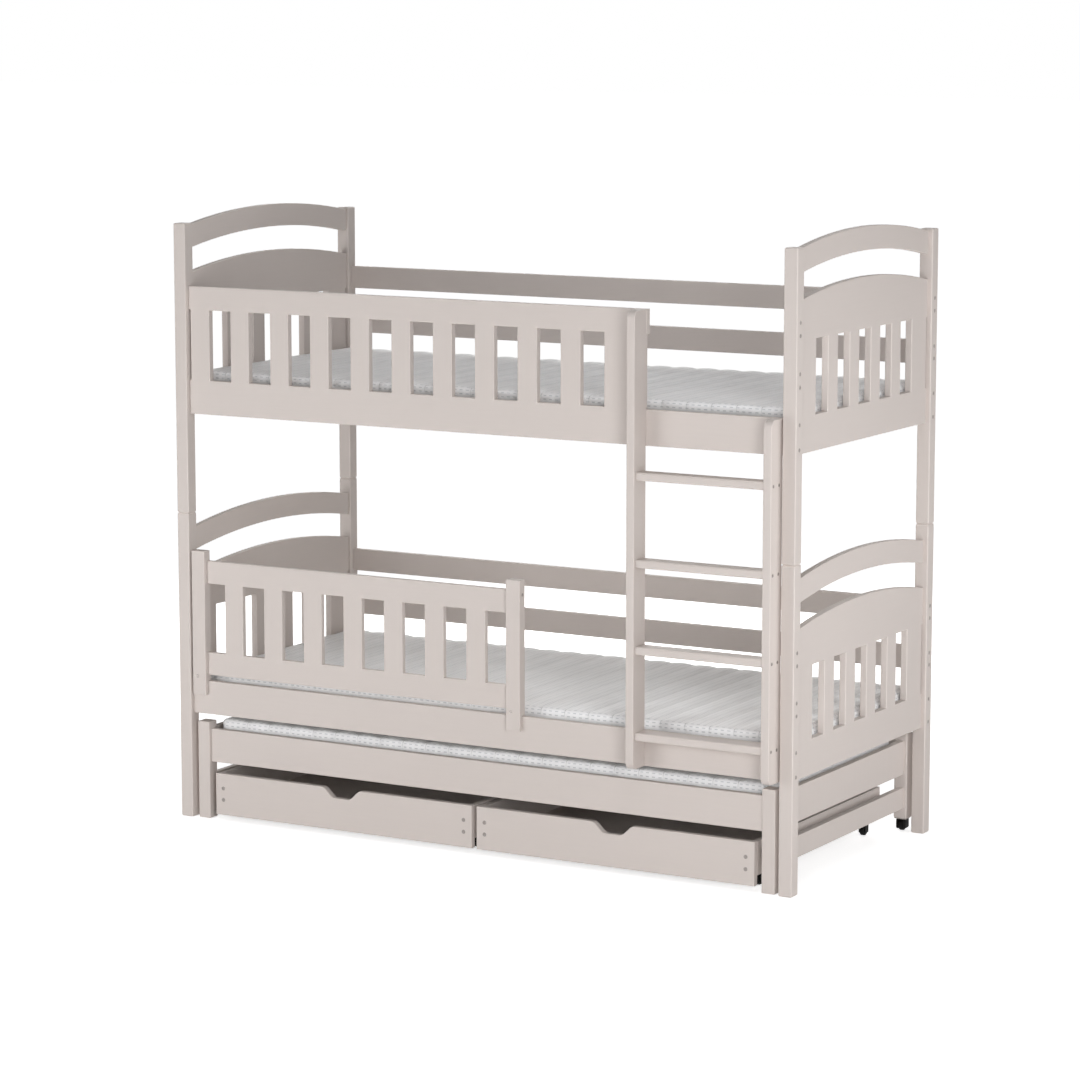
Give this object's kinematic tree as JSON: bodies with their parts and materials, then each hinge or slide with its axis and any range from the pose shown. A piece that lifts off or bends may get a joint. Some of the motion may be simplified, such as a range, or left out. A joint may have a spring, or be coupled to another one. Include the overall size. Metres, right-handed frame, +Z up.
{
  "type": "bunk bed with trundle",
  "caption": "Painted wooden bunk bed with slatted guards and a ladder, a pull-out trundle bed below it and wheeled storage drawers under the trundle.",
  "frame": {"origin": "on the floor, in the middle of the outer box of the whole bed with its trundle and drawers pushed in", "axes": "+X along the bed towards the ladder end, +Y from the ladder side to the wall side, +Z up"},
  "size_m": [1.98, 0.9532, 1.761],
  "materials": {
    "painted_wood": "satin warm grey paint",
    "bare_wood": "planed, untreated",
    "ticking": "knitted quilted cover",
    "black_plastic": "moulded"
  },
  "bodies": {
    "bed_frame": {"lower_post_front_left": "painted_wood", "lower_post_front_right": "painted_wood", "lower_post_back_left": "painted_wood", "lower_post_back_right": "painted_wood", "upper_post_front_left": "painted_wood", "upper_post_front_right": "painted_wood", "upper_post_back_left": "painted_wood", "upper_post_back_right": "painted_wood", "lower_end_panel_left": "painted_wood", "lower_end_panel_right": "painted_wood", "upper_end_panel_left": "painted_wood", "upper_end_panel_right": "painted_wood", "lower_head_rail_left": "painted_wood", "lower_head_rail_right": "painted_wood", "upper_head_rail_left": "painted_wood", "upper_head_rail_right": "painted_wood", "lower_front_rail": "painted_wood", "upper_front_panel": "painted_wood", "lower_back_rail": "painted_wood", "upper_back_rail": "painted_wood", "lower_back_board_top": "painted_wood", "lower_back_board_middle": "painted_wood", "upper_back_board_top": "painted_wood", "upper_back_board_middle": "painted_wood", "lower_slatted_base": "bare_wood", "upper_slatted_base": "bare_wood", "lower_mattress": "ticking", "upper_mattress": "ticking", "ladder_stile_left": "painted_wood", "ladder_stile_right": "painted_wood", "ladder_step_1": "painted_wood", "ladder_step_2": "painted_wood", "ladder_step_3": "painted_wood", "ladder_step_4": "painted_wood", "lower_guard_stile_left": "painted_wood", "lower_guard_stile_right": "painted_wood", "lower_guard_panel": "painted_wood"},
    "trundle": {"trundle_end_frame_left": "painted_wood", "trundle_end_frame_right": "painted_wood", "trundle_front_rail": "painted_wood", "trundle_back_rail": "painted_wood", "trundle_slatted_base": "bare_wood", "trundle_mattress": "ticking", "trundle_caster_housing_left": "black_plastic", "trundle_caster_housing_right": "black_plastic"},
    "trundle_wheel_left": {"trundle_caster_wheel_left": "black_plastic"},
    "trundle_wheel_right": {"trundle_caster_wheel_right": "black_plastic"},
    "drawer_left": {"drawer_left_front": "painted_wood", "drawer_left_tray": "painted_wood"},
    "drawer_right": {"drawer_right_front": "painted_wood", "drawer_right_tray": "painted_wood"},
    "drawer_left_wheel_fl": {"drawer_left_wheel_front_left": "black_plastic"},
    "drawer_left_wheel_fr": {"drawer_left_wheel_front_right": "black_plastic"},
    "drawer_left_wheel_bl": {"drawer_left_wheel_back_left": "black_plastic"},
    "drawer_left_wheel_br": {"drawer_left_wheel_back_right": "black_plastic"},
    "drawer_right_wheel_fl": {"drawer_right_wheel_front_left": "black_plastic"},
    "drawer_right_wheel_fr": {"drawer_right_wheel_front_right": "black_plastic"},
    "drawer_right_wheel_bl": {"drawer_right_wheel_back_left": "black_plastic"},
    "drawer_right_wheel_br": {"drawer_right_wheel_back_right": "black_plastic"}
  },
  "joints": [
    {"name": "trundle_slide", "type": "slide", "parent": "bed_frame", "child": "trundle", "axis": [0, -1, 0], "range_m": [0, 0.85]},
    {"name": "drawer_left_slide", "type": "slide", "parent": "trundle", "child": "drawer_left", "axis": [0, -1, 0], "range_m": [0, 0.65]},
    {"name": "drawer_right_slide", "type": "slide", "parent": "trundle", "child": "drawer_right", "axis": [0, -1, 0], "range_m": [0, 0.65]},
    {"name": "trundle_wheel_left_roll", "type": "hinge", "parent": "trundle", "child": "trundle_wheel_left", "pos_m": [-0.915, 0.45665, 0.016], "axis": [1, 0, 0], "continuous": true},
    {"name": "trundle_wheel_right_roll", "type": "hinge", "parent": "trundle", "child": "trundle_wheel_right", "pos_m": [0.915, 0.45665, 0.016], "axis": [1, 0, 0], "continuous": true},
    {"name": "drawer_left_wheel_fl_roll", "type": "hinge", "parent": "drawer_left", "child": "drawer_left_wheel_fl", "pos_m": [-0.846, -0.32935, 0.016], "axis": [1, 0, 0], "continuous": true},
    {"name": "drawer_left_wheel_fr_roll", "type": "hinge", "parent": "drawer_left", "child": "drawer_left_wheel_fr", "pos_m": [-0.036, -0.32935, 0.016], "axis": [1, 0, 0], "continuous": true},
    {"name": "drawer_left_wheel_bl_roll", "type": "hinge", "parent": "drawer_left", "child": "drawer_left_wheel_bl", "pos_m": [-0.846, 0.34065, 0.016], "axis": [1, 0, 0], "continuous": true},
    {"name": "drawer_left_wheel_br_roll", "type": "hinge", "parent": "drawer_left", "child": "drawer_left_wheel_br", "pos_m": [-0.036, 0.34065, 0.016], "axis": [1, 0, 0], "continuous": true},
    {"name": "drawer_right_wheel_fl_roll", "type": "hinge", "parent": "drawer_right", "child": "drawer_right_wheel_fl", "pos_m": [0.036, -0.32935, 0.016], "axis": [1, 0, 0], "continuous": true},
    {"name": "drawer_right_wheel_fr_roll", "type": "hinge", "parent": "drawer_right", "child": "drawer_right_wheel_fr", "pos_m": [0.846, -0.32935, 0.016], "axis": [1, 0, 0], "continuous": true},
    {"name": "drawer_right_wheel_bl_roll", "type": "hinge", "parent": "drawer_right", "child": "drawer_right_wheel_bl", "pos_m": [0.036, 0.34065, 0.016], "axis": [1, 0, 0], "continuous": true},
    {"name": "drawer_right_wheel_br_roll", "type": "hinge", "parent": "drawer_right", "child": "drawer_right_wheel_br", "pos_m": [0.846, 0.34065, 0.016], "axis": [1, 0, 0], "continuous": true}
  ]
}
